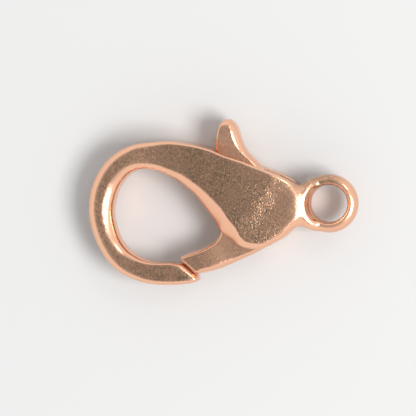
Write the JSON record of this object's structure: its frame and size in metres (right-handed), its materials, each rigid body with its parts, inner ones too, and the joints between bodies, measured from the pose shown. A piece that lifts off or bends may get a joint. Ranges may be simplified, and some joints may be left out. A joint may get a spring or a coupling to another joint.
{
  "type": "lobster clasp",
  "caption": "Copper-plated lobster clasp: a cast hook and hollow belly with an eye, and a sprung lever on a rivet pin that closes the hook.",
  "frame": {"origin": "foot of the pivot's axis on the flat back face that the clasp lies on", "axes": "+X along the clasp from the pivot towards the eye, +Y towards the thumb tab, +Z along the pivot out of the front face"},
  "size_m": [0.027, 0.0166, 0.005],
  "materials": {
    "body": "copper plating on a pitted casting, satin and worn bright on its edges",
    "lever": "copper plating on a pitted casting, satin and worn bright on its edges",
    "pin": "copper plated, satin",
    "spring": "drawn wire, plain"
  },
  "bodies": {
    "body": {"body": "body", "pin": "pin", "spring": "spring"},
    "lever": {"lever": "lever"}
  },
  "joints": [
    {"name": "lever_pivot", "type": "hinge", "parent": "body", "child": "lever", "pos_m": [0, 0, 0.0025], "axis": [0, 0, -1], "range_deg": [0, 35], "stiffness_Nm_per_rad": 0.02, "springref_deg": -22.92, "deforming": ["spring"]}
  ]
}
